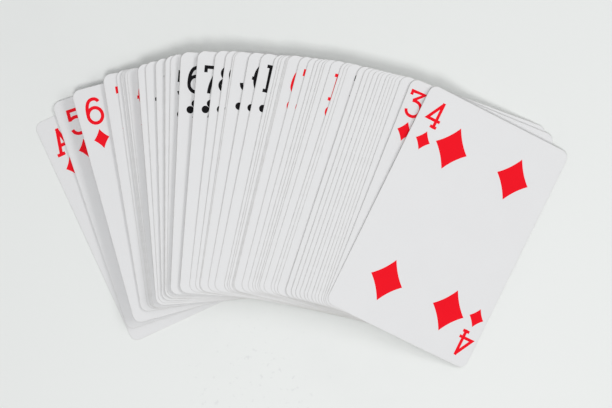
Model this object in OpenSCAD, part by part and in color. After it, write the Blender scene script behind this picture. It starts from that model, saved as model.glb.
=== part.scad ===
// A full deck of playing cards, spread face up in an arc on a table.
// The ace of diamonds lies flat at the left end. Every later card lies on the one before it, turned a
// little to the right and leaning on it, so that its left edge is raised and its right edge slopes down
// to the table.

/* [Card] */
// Width of a card
card_w = 58; // [52:0.5:64]
// Length of a card
card_l = 88; // [80:0.5:92]
// Thickness of a card
card_t = 0.27; // [0.2:0.01:0.4]
// Radius of a card's corners
corner_r = 3; // [1:0.25:6]

/* [Spread] */
// Angle of the first card, its top to the left, in degrees
first_angle = 24.7; // [10:0.1:40]
// Lean of a card once the spread has built up, in degrees
lean_angle = 13.5; // [13.5:0.5:18]
// Air between a card and the next
air = 0.02; // [0.01:0.01:0.1]

/* [Stretches of the arc] */
// Number of cards laid in each stretch, of which the last takes the rest
stretch_counts = [1, 1, 1, 5, 7, 7, 6, 8, 12, 1, 1, 1]; // [1:1:20]
// From a card's middle to the point that it is turned about
turn_radius = [42, 105, 75, 125, 85, 140, 235, 220, 265, 120, 60, 50]; // [40:1:300]
// Shift of each card to the right of the card below it
right_shifts = [0, 0, 0, 0, 0, 0, 0, 0, 1.2, 0, 0, 0]; // [0:0.1:3]
// Shift of each card along its own length, towards its top end
upward_shifts = [1.8, -0.1, 0.5, -0.15, 0.1, -0.15, 0.1, 0.1, 0.1, 0, -0.8, -1.4]; // [-3:0.05:3]

/* [Hand spread] */
// Lean of each of the first cards, in degrees: ace of diamonds to six of clubs
first_lean_angles = [0, 0.5, 5.5, 6, 6, 6.5, 6.5, 7, 7, 10, 10, 10.5, 10.5, 11, 11, 12.5];
// Turn of each diamond from the card below it, in degrees: five to king
diamond_turns = [6, 3.2, 6, 1.7, 0.6, 0.2, 0.3, 0.3, 1.8];
// Turn of each club from the card below it: ace to king
club_turns = [1.3, 1.7, 1.4, 0.2, 0.9, 1.6, 1.9, 2, 1.2, 0.8, 0.2, 1.6, 1.4];
// Turn of each heart from the card below it: ace to king
heart_turns = [1, 0.3, 0.2, 0.3, 0.1, 0.1, 0.9, 0.7, 0.5, 0.3, 0.3, 0.2, 0.5];
// Turn of each spade from the card below it: ace to king
spade_turns = [0.8, 0, 0, 0.5, 0.2, 0.1, 0.1, 0.1, 0, 0.1, 0, 0, 0];
// Turn of the last diamonds from the card below: two to four
last_turns = [0.6, 2.1, 4.6];

/* [Hidden] */
$fn = 48;
card_white = [0.93, 0.93, 0.92];
ranks = ["ace", "two", "three", "four", "five", "six", "seven",
         "eight", "nine", "ten", "jack", "queen", "king"];

// Cards of one suit, from one rank to another, as node names
function run_of(suit, first, last) =
    [for (rank = [first : last]) str(ranks[rank - 1], "_of_", suit)];

// The deck from the bottom card to the top one
NODES = concat(
    run_of("diamonds", 1, 1),
    run_of("diamonds", 5, 13),
    run_of("clubs", 1, 13),
    run_of("hearts", 1, 13),
    run_of("spades", 1, 13),
    run_of("diamonds", 2, 4)
);

cards = len(NODES);
turns = concat(diamond_turns, club_turns, heart_turns, spade_turns, last_turns);

// Each card's heading and lean, in degrees
headings = [for (i = 0, a = first_angle; i < cards; a = a - (i < cards - 1 ? turns[i] : 0), i = i + 1) a];
leans = [for (i = [0 : cards - 1]) i < len(first_lean_angles) ? first_lean_angles[i] : lean_angle];

// Directions of a card in the room: along it, across its face to the right, and out of its face
function along(i) = [-sin(headings[i]), cos(headings[i]), 0];
function level(i) = [cos(headings[i]), sin(headings[i]), 0];
function across(i) = level(i) * cos(leans[i]) - [0, 0, sin(leans[i])];
function outward(i) = level(i) * sin(leans[i]) + [0, 0, cos(leans[i])];

// Middle of each card in plan: a card is the one below it, turned about a point on that card's own line
// and shifted, both as its stretch of the arc asks for
function stretch_after(i, k = 0) =
    k == len(stretch_counts) - 1 || i < stretch_counts[k]
        ? k
        : stretch_after(i - stretch_counts[k], k + 1);
function moved_by(i, k) =
    turn_radius[k] * (along(i + 1) - along(i))
    + right_shifts[k] * level(i + 1)
    + upward_shifts[k] * along(i + 1);
function step_after(i) = i < cards - 1 ? moved_by(i, stretch_after(i)) : [0, 0, 0];
plan = [for (i = 0, p = [0, 0, 0]; i < cards; p = p + step_after(i), i = i + 1) p];

// A seat is the height of the middle of a card's underside. It is the least at which the card clears the
// whole face of the card below it, and at which its right edge is no lower than the table.
face_corners = [for (x = [-1, 1], y = [-1, 1]) [x * card_w / 2, y * card_l / 2]];
function face_point(i, z, c) =
    plan[i] + [0, 0, z] + c[0] * across(i) + c[1] * along(i) + card_t * outward(i);
function least_over(i, p) = p[2] + air + (p - plan[i]) * level(i) * tan(leans[i]);
function seat_after(i, z) =
    max([
        card_w / 2 * sin(leans[i + 1]),
        for (c = face_corners) least_over(i + 1, face_point(i, z, c))
    ]);
seats = [for (i = 0, z = 0; i < cards; z = i < cards - 1 ? seat_after(i, z) : z, i = i + 1) z];

// The origin is on the table under the middle of the spread's outline
arc_centres = [for (c = face_corners) [c[0] - sign(c[0]) * corner_r, c[1] - sign(c[1]) * corner_r]];
function arc_reach(i, k) = corner_r * norm([across(i)[k], along(i)[k]]);
function arc_places(k, side) =
    [for (i = [0 : cards - 1], c = arc_centres, t = [0, card_t])
        (plan[i] + c[0] * across(i) + c[1] * along(i) + t * outward(i))[k] + side * arc_reach(i, k)];
middle = [for (k = [0, 1]) (max(arc_places(k, 1)) + min(arc_places(k, -1))) / 2];

// A card's blank, its underside on the plane z = 0
module blank() {
    linear_extrude(card_t) {
        square([card_w - 2 * corner_r, card_l], center = true);
        square([card_w, card_l - 2 * corner_r], center = true);
        for (c = arc_centres)
            translate(c)
                circle(corner_r);
    }
}

// One card in its place in the spread
module playing_card(i) {
    color(card_white)
        translate(plan[i] - [middle[0], middle[1], -seats[i]])
            rotate([0, 0, headings[i]])
                rotate([0, leans[i], 0])
                    blank();
}

for (i = [0 : cards - 1])
    playing_card(i);
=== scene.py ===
"""Looks of a full deck of playing cards, spread face up in an arc on a white table.

Each card is a blank with rounded corners and softened edges. Its face is divided along the outlines of the
print, so that pips, indices and court figures are areas of the mesh, each with an ink of its own. The back
carries a lattice in one colour inside a white border.
"""

import logging
import math
from dataclasses import dataclass, field
from enum import Enum
from typing import ClassVar, Iterable

import bmesh
import bpy
from mathutils import Matrix, Vector
from mathutils.geometry import delaunay_2d_cdt


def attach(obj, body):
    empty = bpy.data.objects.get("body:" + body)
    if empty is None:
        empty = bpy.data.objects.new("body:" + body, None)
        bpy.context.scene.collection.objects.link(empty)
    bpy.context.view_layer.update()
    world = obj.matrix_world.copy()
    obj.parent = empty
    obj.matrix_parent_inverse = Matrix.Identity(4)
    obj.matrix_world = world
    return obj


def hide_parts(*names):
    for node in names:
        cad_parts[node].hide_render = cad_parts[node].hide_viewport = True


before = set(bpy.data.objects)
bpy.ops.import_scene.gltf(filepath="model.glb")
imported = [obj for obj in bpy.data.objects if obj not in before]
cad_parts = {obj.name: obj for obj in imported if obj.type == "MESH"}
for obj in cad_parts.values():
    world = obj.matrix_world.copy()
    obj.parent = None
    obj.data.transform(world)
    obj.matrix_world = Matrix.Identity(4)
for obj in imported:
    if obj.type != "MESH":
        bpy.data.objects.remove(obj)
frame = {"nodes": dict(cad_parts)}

log = logging.getLogger("deck")

Point = tuple[float, float]
Span = tuple[float, float]
Place = tuple[float, float, float]
Outline = list[Point]
Stroke = tuple[Outline, bool]
Colour = tuple[float, float, float]

MM = 0.001
UV_MAP = "print"
UV_SPAN = 100.0  # millimetres of card to one unit of its UV map
SIDES = (-1, 1)  # left and right of a figure
TINY = 1e-6  # millimetres that count as none
LONGEST_MITRE = 2.2  # reach of a line's outer corner, in half widths
LEAST_BEND = 0.2  # least cosine of half a bend, which keeps that reach finite
WHOLE_HULL = 0  # kind of division that keeps every triangle within the outermost points

# Cards are cut a little unevenly: where the print of some of them sits, in millimetres to the right of the
# card's middle and up from it
CUT_SHIFTS = {
    "ace_of_diamonds": (1.75, -0.4),
    "five_of_diamonds": (1.6, -0.25),
    "six_of_diamonds": (1.1, 0.0),
    "seven_of_diamonds": (1.9, -1.0),
    "queen_of_diamonds": (0.9, -1.4),
    "ace_of_clubs": (1.4, 0.0),
    "three_of_clubs": (0.8, -0.9),
    "five_of_clubs": (0.5, -1.8),
    "six_of_clubs": (0.85, -0.9),
    "seven_of_clubs": (0.85, -1.15),
    "eight_of_clubs": (0.6, -1.3),
    "nine_of_clubs": (0.0, -1.1),
    "jack_of_clubs": (0.85, 0.25),
    "queen_of_clubs": (0.65, -0.1),
    "six_of_hearts": (1.1, -0.25),
    "seven_of_hearts": (0.45, -0.6),
    "king_of_hearts": (0.42, -0.8),
    "three_of_spades": (1.6, 0.2),
    "two_of_diamonds": (1.9, 0.0),
    "three_of_diamonds": (-0.7, 0.25),
    "four_of_diamonds": (0.8, -0.5),
}


class Surface(Enum):
    """What a patch of a card is: bare stock, one of the inks, the cut edge or the printed back."""

    BARE = "bare_stock"
    RED = "red_ink"
    BLACK = "black_ink"
    YELLOW = "yellow_ink"
    BLUE = "blue_ink"
    EDGE = "cut_edge"
    BACK = "lattice_back"


class Suit(Enum):
    """The four suits, by the word in a card's name."""

    DIAMONDS = "diamonds"
    CLUBS = "clubs"
    HEARTS = "hearts"
    SPADES = "spades"

    @property
    def ink(self) -> Surface:
        """Ink of the suit's pips and indices."""
        return Surface.RED if self in (Suit.DIAMONDS, Suit.HEARTS) else Surface.BLACK


class Rank(Enum):
    """The thirteen ranks, by the word in a card's name."""

    ACE = "ace"
    TWO = "two"
    THREE = "three"
    FOUR = "four"
    FIVE = "five"
    SIX = "six"
    SEVEN = "seven"
    EIGHT = "eight"
    NINE = "nine"
    TEN = "ten"
    JACK = "jack"
    QUEEN = "queen"
    KING = "king"

    @property
    def is_court(self) -> bool:
        """Whether the rank carries a figure instead of pips."""
        return self in (Rank.JACK, Rank.QUEEN, Rank.KING)


# Lines and shapes of the print, in millimetres


def oval(
    x: float, y: float, rx: float, ry: float, first: float = 0, last: float = 360, steps: int = 28
) -> Outline:
    """Points along an oval.

    Args:
        x: Middle, across.
        y: Middle, up.
        rx: Half width.
        ry: Half height.
        first: Angle of the first point in degrees.
        last: Angle at which the arc ends; a full turn leaves the repeated point out.
        steps: Number of pieces.

    Returns:
        The points in order.
    """
    count = steps if abs(last - first) >= 360 else steps + 1
    angles = [math.radians(first + (last - first) * k / steps) for k in range(count)]
    return [(x + rx * math.cos(a), y + ry * math.sin(a)) for a in angles]


def sweep(start: Point, *pulls: Point, steps: int = 10) -> Outline:
    """Points along cubic curves laid end to end.

    Args:
        start: First point.
        pulls: Two pulls and an end for each curve.
        steps: Number of pieces of each curve.

    Returns:
        The points in order, each joint once.
    """
    points = [start]
    for k in range(0, len(pulls), 3):
        ends = (points[-1], *pulls[k : k + 3])
        for step in range(1, steps + 1):
            t = step / steps
            shares = ((1 - t) ** 3, 3 * t * (1 - t) ** 2, 3 * t * t * (1 - t), t**3)
            points.append(tuple(sum(s * p[axis] for s, p in zip(shares, ends)) for axis in (0, 1)))
    return points


def bar(x: float, half: float, low: float, high: float) -> Outline:
    """A level rectangle of a given half width, from its lower edge to its upper one."""
    return [(x - half, low), (x + half, low), (x + half, high), (x - half, high)]


def mirrored(half: Outline) -> Outline:
    """A closed outline from its right half, which starts and ends on the middle line."""
    return half + [(-x, y) for x, y in reversed(half) if abs(x) > TINY]


def sided(path: Outline, side: int) -> Outline:
    """A path on the right of a figure, or its mirror image for the left, where the side is -1."""
    return [(side * x, y) for x, y in path]


def band(path: Outline, width: float, closed: bool = False) -> list[Outline]:
    """Outlines of a line of even width along a path.

    Args:
        path: Middle of the line.
        width: Its width.
        closed: Whether the end joins the start.

    Returns:
        One outline for an open path, two halves for a closed one.
    """
    count = len(path)
    sides: tuple[Outline, Outline] = ([], [])
    for k, (x, y) in enumerate(path):
        before = path[k - 1] if closed or k else None
        after = path[(k + 1) % count] if closed or k < count - 1 else None
        ways = []
        for a, b in ((before, (x, y)), ((x, y), after)):
            if a is not None and b is not None:
                ways.append((Vector(b) - Vector(a)).normalized())
        normals = [Vector((-way.y, way.x)) for way in ways]
        mean = sum(normals, Vector((0, 0)))
        mean = mean.normalized() if mean.length > TINY else normals[0]
        reach = width / 2 * min(LONGEST_MITRE, 1 / max(LEAST_BEND, mean.dot(normals[0])))
        sides[0].append((x + mean.x * reach, y + mean.y * reach))
        sides[1].append((x - mean.x * reach, y - mean.y * reach))
    if not closed:
        return [sides[0] + sides[1][::-1]]
    half = count // 2
    round_trip = list(range(count)) + [0]
    return [
        [sides[0][k] for k in part] + [sides[1][k] for k in reversed(part)]
        for part in (round_trip[: half + 1], round_trip[half:])
    ]


@dataclass
class Drawing:
    """Marks of a print in the order in which they are laid down, in millimetres.

    Attributes:
        marks: Surface and outline of each mark; a later one covers an earlier one.
    """

    marks: list[tuple[Surface, Outline]] = field(default_factory=list)

    def fill(self, ink: Surface, outline: Outline, rim: float = 0) -> None:
        """Lays down an area.

        Args:
            ink: Its ink.
            outline: Its outline.
            rim: Width of a black line drawn round it, or none.
        """
        self.marks.append((ink, outline))
        if rim:
            self.line(Surface.BLACK, outline, rim, closed=True)

    def line(self, ink: Surface, path: Outline, width: float, closed: bool = False) -> None:
        """Lays down a line of even width along a path, which may be closed."""
        self.marks += [(ink, outline) for outline in band(path, width, closed)]

    def dots(self, ink: Surface, places: Iterable[Point], radius: float, steps: int = 10) -> None:
        """Lays down a round dot at each place."""
        self.marks += [(ink, oval(x, y, radius, radius, steps=steps)) for x, y in places]

    def add(
        self, other: "Drawing", x: float = 0, y: float = 0, scale: float = 1, turned: bool = False
    ) -> None:
        """Lays down another drawing at a place and size, on its head where it is turned."""
        size = -scale if turned else scale
        for ink, mark in other.marks:
            self.marks.append((ink, [(x + size * px, y + size * py) for px, py in mark]))

    def add_both_ways(self, other: "Drawing", x: float = 0, y: float = 0, scale: float = 1) -> None:
        """Lays down another drawing at a place, and once more with the card turned half round."""
        self.add(other, x, y, scale)
        self.add(other, -x, -y, scale, turned=True)


@dataclass(frozen=True)
class Pip:
    """A suit's sign at its full size on a number card.

    Attributes:
        suit: The suit.
        half_w: Half the width of a diamond.
        half_h: Half the height of a diamond.
        hollow: How far a diamond's sides bow in.
        lobe: Radius of a club's leaves.
    """

    suit: Suit
    half_w: float = 6.45
    half_h: float = 8.15
    hollow: float = 0.8
    lobe: float = 3.05

    def drawing(self) -> Drawing:
        """Draws the sign in the suit's ink.

        Returns:
            The drawing, its middle at the origin.
        """
        shapes = {
            Suit.DIAMONDS: self.diamond,
            Suit.HEARTS: self.heart,
            Suit.SPADES: self.spade,
            Suit.CLUBS: self.club,
        }
        made = Drawing()
        for outline in shapes[self.suit]():
            made.fill(self.suit.ink, outline)
        return made

    def diamond(self) -> list[Outline]:
        """Four sides that bow inwards between sharp tips.

        Returns:
            One outline.
        """
        tips = [(self.half_w, 0.0), (0.0, self.half_h), (-self.half_w, 0.0), (0.0, -self.half_h)]
        outline: Outline = []
        for (ax, ay), (bx, by) in zip(tips, tips[1:] + tips[:1]):
            middle = Vector(((ax + bx) / 2, (ay + by) / 2))
            inner = middle - middle.normalized() * self.hollow * 4 / 3
            outline += sweep(
                (ax, ay),
                ((ax + 2 * inner.x) / 3, (ay + 2 * inner.y) / 3),
                ((bx + 2 * inner.x) / 3, (by + 2 * inner.y) / 3),
                (bx, by),
            )[:-1]
        return [outline]

    def heart(self) -> list[Outline]:
        """Two round lobes above a point."""
        half = sweep(
            (0, -7.6), (0.9, -4.8), (6.4, -1.0), (6.4, 3.2), (6.4, 5.8), (4.9, 7.3), (3.2, 7.3),
            (1.6, 7.3), (0.3, 6.0), (0, 4.4), steps=9,
        )
        return [mirrored(half)]

    def spade(self) -> list[Outline]:
        """A leaf with its point up, on a stem."""
        half = sweep(
            (0, 7.8), (1.2, 4.6), (6.3, 1.6), (6.3, -2.0), (6.3, -4.2), (4.9, -5.3), (3.3, -5.3),
            (1.8, -5.3), (0.7, -4.5), (0, -3.0), steps=9,
        )
        return [mirrored(half), self.stem(-2.0, -7.6)]

    def club(self) -> list[Outline]:
        """Three round leaves on a stem.

        Returns:
            The leaves, the patch between them and the stem.
        """
        leaves = [oval(x, y, self.lobe, self.lobe) for x, y in ((0, 3.9), (3.85, -1.2), (-3.85, -1.2))]
        between = [(-1.6, -1.6), (1.6, -1.6), (1.1, 2.4), (-1.1, 2.4)]
        return [*leaves, between, self.stem(-0.8, -7.4)]

    def stem(self, top: float, foot: float) -> Outline:
        """Flared stem under a spade or a club, from its top to its foot."""
        flare = sweep((0.55, top), (0.65, foot + 3), (1.2, foot + 1), (2.1, foot), steps=7)
        return mirrored([(0, top), *flare, (0, foot)])


@dataclass(frozen=True)
class Index:
    """The figure or letter in a card's corner, drawn with a pen of even width.

    Its strokes are paths in shares of its half width and half height, with whether each is closed.

    Attributes:
        rank: The rank.
        ink: Its ink.
        half_w: Half the width between the middles of the outer strokes.
        half_h: Half the height between the middles of the outer strokes.
        pen: Width of a stroke.
        fine: Width of a stroke of a three or a four.
        serif: Half the length of a foot.
        BOWL: Pulls and ends of the curve that closes a three or a five below.
    """

    rank: Rank
    ink: Surface
    half_w: float = 2.6
    half_h: float = 4.45
    pen: float = 1.24
    fine: float = 1.12
    serif: float = 1.5

    BOWL: ClassVar[Outline] = [(1, -0.76), (0.58, -1), (0, -1), (-0.54, -1), (-0.88, -0.84), (-1, -0.55)]

    def drawing(self) -> Drawing:
        """Draws the figure or letter.

        Returns:
            The drawing, its middle at the origin.
        """
        shapes = {
            Rank.ACE: self.ace,
            Rank.TWO: self.two,
            Rank.THREE: self.three,
            Rank.FOUR: self.four,
            Rank.FIVE: self.five,
            Rank.SIX: self.six,
            Rank.SEVEN: self.seven,
            Rank.EIGHT: self.eight,
            Rank.NINE: self.nine,
            Rank.TEN: self.ten,
            Rank.JACK: self.jack,
            Rank.QUEEN: self.queen,
            Rank.KING: self.king,
        }
        made = Drawing()
        for path, closed in shapes[self.rank]():
            placed = [(x * self.half_w, y * self.half_h) for x, y in path]
            made.line(self.ink, placed, self.stroke_width, closed)
        return made

    @property
    def stroke_width(self) -> float:
        """Width of this rank's strokes."""
        return self.fine if self.rank in (Rank.THREE, Rank.FOUR) else self.pen

    @property
    def end(self) -> float:
        """Height at which a stem ends, level with the outer side of a foot."""
        return 1 + self.pen / 2 / self.half_h

    def foot(self, x: float, y: float, left: float = 1, right: float = 1) -> Stroke:
        """A short level stroke at the end of a stem, which reaches so many serifs to either side."""
        serif = self.serif / self.half_w
        return [(x - left * serif, y), (x + right * serif, y)], False

    def ace(self) -> list[Stroke]:
        """Two legs with feet, and a bar between them.

        Returns:
            The strokes.
        """
        legs = [([(side * 0.84, -1.06), (-side * 0.06, 1.05)], False) for side in SIDES]
        feet = [self.foot(side * 0.84, -1.06) for side in SIDES]
        return [*legs, ([(-0.55, -0.36), (0.55, -0.36)], False), *feet]

    def two(self) -> list[Stroke]:
        """A swan's neck on a base with a raised end."""
        neck = sweep(
            (-1, 0.5), (-1, 0.84), (-0.5, 1), (0, 1), (0.6, 1), (1, 0.8), (1, 0.48),
            (1, 0.05), (-0.7, -0.5), (-0.9, -1),
        )
        return [(neck, False), ([(-1.1, -1), (1, -1), (1, -0.62)], False)]

    def three(self) -> list[Stroke]:
        """A flat top with a slanted stroke, above an open bowl.

        Returns:
            The strokes.
        """
        top = [(-1, 0.66), (-1, 1), (0.84, 1), (-0.5, 0.27)]
        low = sweep((-0.56, 0.26), (0.5, 0.36), (1, 0.06), (1, -0.36), *self.BOWL)
        return [(top, False), (low, False)]

    def four(self) -> list[Stroke]:
        """A slanted stroke that turns into a bar, across a stem with a foot.

        Returns:
            The strokes.
        """
        slant = [(0.5, 1), (-0.9, -0.45), (1.08, -0.45)]
        stem = [(0.5, self.end), (0.5, -self.end)]
        return [(slant, False), (stem, False), self.foot(0.5, -1, 0.9, 0.8)]

    def five(self) -> list[Stroke]:
        """A flag and a short stem, above an open bowl.

        Returns:
            The strokes.
        """
        top = [(0.86, 1), (-0.84, 1), (-0.94, 0.16)]
        low = sweep((-0.98, 0.24), (-0.4, 0.5), (1, 0.56), (1, -0.28), *self.BOWL)
        return [(top, False), (low, False)]

    def six(self) -> list[Stroke]:
        """A bowl under a long curve."""
        curve = sweep((-1, -0.36), (-1, 0.5), (-0.62, 1), (0.14, 1), (0.5, 1), (0.76, 0.9), (0.88, 0.7))
        return [(oval(0, -0.36, 1, 0.64), True), (curve, False)]

    def seven(self) -> list[Stroke]:
        """A flat top with a bent leg."""
        leg = sweep((0.96, 1), (0.4, 0.5), (-0.34, -0.2), (-0.38, -self.end))
        return [([(-1, 0.56), (-1, 1), *leg], False)]

    def eight(self) -> list[Stroke]:
        """A small bowl on a larger one."""
        return [(oval(0, 0.52, 0.96, 0.48), True), (oval(0, -0.48, 1.12, 0.52), True)]

    def nine(self) -> list[Stroke]:
        """A six on its head."""
        return [([(-x, -y) for x, y in path], closed) for path, closed in self.six()]

    def ten(self) -> list[Stroke]:
        """A one with a foot, and a narrow nought.

        Returns:
            The strokes.
        """
        one = [(-1.16, 0.66), (-0.8, 1), (-0.8, -self.end)]
        nought = oval(0.5, 0, 0.64, 1)
        return [(one, False), self.foot(-0.8, -1, 0.6, 0.6), (nought, True)]

    def jack(self) -> list[Stroke]:
        """A hook under a short bar."""
        hook = sweep(
            (0.36, self.end), (0.36, 0.4), (0.36, 0), (0.36, -0.44), (0.36, -0.84), (0.12, -1), (-0.2, -1),
            (-0.56, -1), (-0.76, -0.84), (-0.8, -0.54),
        )
        return [(hook, False), self.foot(0.36, 1, 1.1, 1)]

    def queen(self) -> list[Stroke]:
        """A narrow bowl with a tail, and a short bar at its left.

        Returns:
            The strokes.
        """
        bowl = oval(0, 0.03, 0.84, 0.97)
        tail = [(0.1, -0.5), (0.96, -1.08)]
        tab = [(-1.28, -0.06), (-0.84, -0.06)]
        return [(bowl, True), (tail, False), (tab, False)]

    def king(self) -> list[Stroke]:
        """A stem, an arm and a leg, with feet at all four ends.

        Returns:
            The strokes.
        """
        stem = [(-0.64, self.end), (-0.64, -self.end)]
        arm = [(0.84, 1), (-0.6, -0.1)]
        leg = [(-0.16, 0.22), (0.84, -1)]
        feet = [self.foot(x, y, reach, reach) for x, reach in ((-0.64, 1), (0.84, 0.8)) for y in (-1, 1)]
        return [(stem, False), (arm, False), (leg, False), *feet]


@dataclass(frozen=True)
class CourtFigure:
    """A double-ended court figure in a framed panel, of plain shapes in four inks.

    Attributes:
        rank: Jack, queen or king.
        suit: The suit.
        half_w: Half the width of the panel.
        half_h: Half the height of the panel.
        frame_pen: Width of the panel's frame.
        pen: Width of an outline.
        fine: Width of a strand of hair or a small outline.
        petal_pen: Width of the outline of a petal or a leaf.
        lid_pen: Width of an eyelid.
        nose_pen: Width of the line of the nose.
        crease_pen: Width of a line in a beard.
        cord: Width of a stripe, a moustache or a mouth.
        bead: Radius of a stud or a jewel.
        gem: Radius of the dot in a lozenge of the stole.
        eye: Radius of an eye or of a dot on the sash.
        held_x: Place of what the figure holds, to the right of its middle.
        pip_inset: From the corner of the panel to the pip in it.
        pip_size: Size of that pip.
    """

    rank: Rank
    suit: Suit
    half_w: float = 18.4
    half_h: float = 37.6
    frame_pen: float = 0.45
    pen: float = 0.3
    fine: float = 0.22
    petal_pen: float = 0.25
    lid_pen: float = 0.26
    nose_pen: float = 0.24
    crease_pen: float = 0.2
    cord: float = 0.55
    bead: float = 0.55
    gem: float = 0.6
    eye: float = 0.42
    held_x: float = 13.2
    pip_inset: Point = (5.4, 7.0)
    pip_size: float = 0.62

    @property
    def main(self) -> Surface:
        """Ink of the robe."""
        red_suit = self.suit.ink is Surface.RED
        return Surface.RED if red_suit == (self.rank is not Rank.QUEEN) else Surface.BLUE

    @property
    def trim(self) -> Surface:
        """Ink of the robe's trimming."""
        return Surface.BLUE if self.main is Surface.RED else Surface.RED

    @property
    def hair(self) -> Surface:
        """Ink of the hair."""
        return Surface.YELLOW if self.suit in (Suit.DIAMONDS, Suit.SPADES) else Surface.BLACK

    @property
    def strand(self) -> Surface:
        """Ink of the lines in the hair."""
        return Surface.BARE if self.hair is Surface.BLACK else Surface.BLACK

    def drawing(self) -> Drawing:
        """Draws the panel with the figure both ways up.

        Returns:
            The drawing, its middle at the origin.
        """
        holding = {Rank.KING: self.sword, Rank.QUEEN: self.flower, Rank.JACK: self.staff}[self.rank]
        beard = [self.beard] if self.rank is Rank.KING else []
        head_dress = self.cap if self.rank is Rank.JACK else self.crown
        half = Drawing()
        for lay in (self.robe, self.stole, self.collar, holding, self.hand, self.locks, self.face, *beard,
                    self.features, head_dress):
            lay(half)
        made = Drawing()
        made.add_both_ways(half)
        self.sash(made)
        made.line(Surface.BLUE, bar(0, self.half_w, -self.half_h, self.half_h), self.frame_pen, closed=True)
        pip_x, pip_y = self.pip_inset[0] - self.half_w, self.half_h - self.pip_inset[1]
        made.add_both_ways(Pip(self.suit).drawing(), pip_x, pip_y, self.pip_size)
        return made

    def robe(self, art: Drawing) -> None:
        """Lays down shoulders, striped sleeves and lapels with studs.

        Args:
            art: The drawing.
        """
        wide = self.half_w - 0.1
        shoulder = sweep((wide, 7), (wide - 1, 11), (wide - 5, 14), (8.5, 15.6), steps=8)
        art.fill(self.main, mirrored([(0, 0), (wide, 0), *shoulder, (4.4, 17), (0, 17)]), self.pen)
        sleeve = [(wide, 0), (wide, 7), (15.4, 11.4), (11, 4.6), (11.8, 0)]
        stripes = [[(12.3 + 2 * k, 0.4), (11.9 + 2 * k, 4.6 + 1.7 * k)] for k in range(3)]
        lapel = [(3.4, 16.6), (6.6, 15.9), (10.6, 4.6), (11.2, 0), (7.4, 0), (6.8, 5)]
        studs = [(8.9 - 0.55 * k, 2.2 + 2.5 * k) for k in range(5)]
        for side in SIDES:
            art.fill(self.trim, sided(sleeve, side), self.pen)
            for stripe in stripes:
                art.line(Surface.YELLOW, sided(stripe, side), self.cord)
            art.fill(Surface.YELLOW, sided(lapel, side), self.pen)
            art.dots(Surface.BLACK, sided(studs, side), self.bead)

    def stole(self, art: Drawing) -> None:
        """Lays down a panel with three lozenges down the front.

        Args:
            art: The drawing.
        """
        art.fill(Surface.BARE, mirrored([(0, 0), (3.8, 0), (3.4, 16.4), (0, 16.4)]), self.pen)
        for k in range(3):
            y = 3.6 + 4.2 * k
            art.fill(self.trim, [(0, y - 1.9), (2.4, y), (0, y + 1.9), (-2.4, y)], self.pen)
            art.dots(Surface.YELLOW, [(0, y)], self.gem)

    def collar(self, art: Drawing) -> None:
        """Lays down a round collar with short dark tails.

        Args:
            art: The drawing.
        """
        curve = sweep((-9.4, 17.6), (-6.5, 13.2), (6.5, 13.2), (9.4, 17.6), steps=16)
        outer, inner, tail = 3.3, 2.7, 0.4
        art.line(Surface.BLACK, curve, outer)
        art.line(Surface.BARE, curve, inner)
        for x, y in curve[1:-1:2]:
            art.line(Surface.BLACK, [(x, y - 0.6), (x, y + 0.5)], tail)

    def sash(self, art: Drawing) -> None:
        """Lays down a belt across the middle of the card, where the two halves meet.

        Args:
            art: The drawing.
        """
        art.fill(Surface.YELLOW, bar(0, self.half_w, -2, 2), self.pen)
        for k in range(-4, 5):
            x = 4.1 * k
            art.fill(self.trim, [(x - 1.5, 0), (x, -1.4), (x + 1.5, 0), (x, 1.4)], self.fine)
            art.dots(Surface.BLACK, [(x - 2.05, 0)] if k > -4 else [], self.eye)

    def locks(self, art: Drawing) -> None:
        """Lays down the hair.

        Args:
            art: The drawing.
        """
        ends = {Rank.QUEEN: (7.6, 15.4), Rank.JACK: (7.2, 18.6), Rank.KING: (6.6, 18.2)}
        spread, tip = ends[self.rank]
        half = sweep(
            (0, 31.6), (4.6, 31.6), (6.2, 28.6), (6.2, 25), (6.2, 22), (spread, 20.5), (spread, tip + 1),
            (spread, tip - 0.6), (4.0, tip - 0.4), (3.6, tip + 1.2), steps=8,
        )
        art.fill(self.hair, mirrored([*half, (0, tip + 1.2)]), self.pen)
        for side in SIDES:
            for k in range(3):
                x = 4.75 + 0.65 * k
                lock = sweep((x, 27 - k), (x + 0.5, 24.5), (x - 0.5, 21.5), (x + 0.35, tip + 1.6), steps=6)
                art.line(self.strand, sided(lock, side), self.fine)

    def face(self, art: Drawing) -> None:
        """Lays down the neck and the face.

        Args:
            art: The drawing.
        """
        art.fill(Surface.BARE, mirrored([(0, 15.2), (2.2, 15.4), (2.1, 20), (0, 20)]), self.pen)
        half = sweep(
            (0, 18.1), (2.0, 18.1), (4.2, 20.6), (4.3, 24.4), (4.4, 27.4), (2.8, 29.6), (0, 29.6), steps=8
        )
        art.fill(Surface.BARE, mirrored(half), self.pen)

    def beard(self, art: Drawing) -> None:
        """Lays down a king's beard and moustache.

        Args:
            art: The drawing.
        """
        half = sweep(
            (0, 14.6), (1.8, 14.8), (4.0, 17.5), (4.5, 23.2), (3.6, 21.4), (2.4, 20.4), (1.5, 20.2), steps=7
        )
        art.fill(self.hair, mirrored([*half, (0, 20.2)]), self.pen)
        creases = ([(0.8, 16), (0.9, 19.4)], [(2.2, 17.3), (2.0, 19.6)])
        moustache = sweep((0.1, 22.2), (1, 22.3), (2, 21.8), (3.1, 21.2), steps=6)
        for side in SIDES:
            for crease in creases:
                art.line(self.strand, sided(crease, side), self.crease_pen)
            art.line(Surface.BLACK, sided(moustache, side), self.cord)

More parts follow.
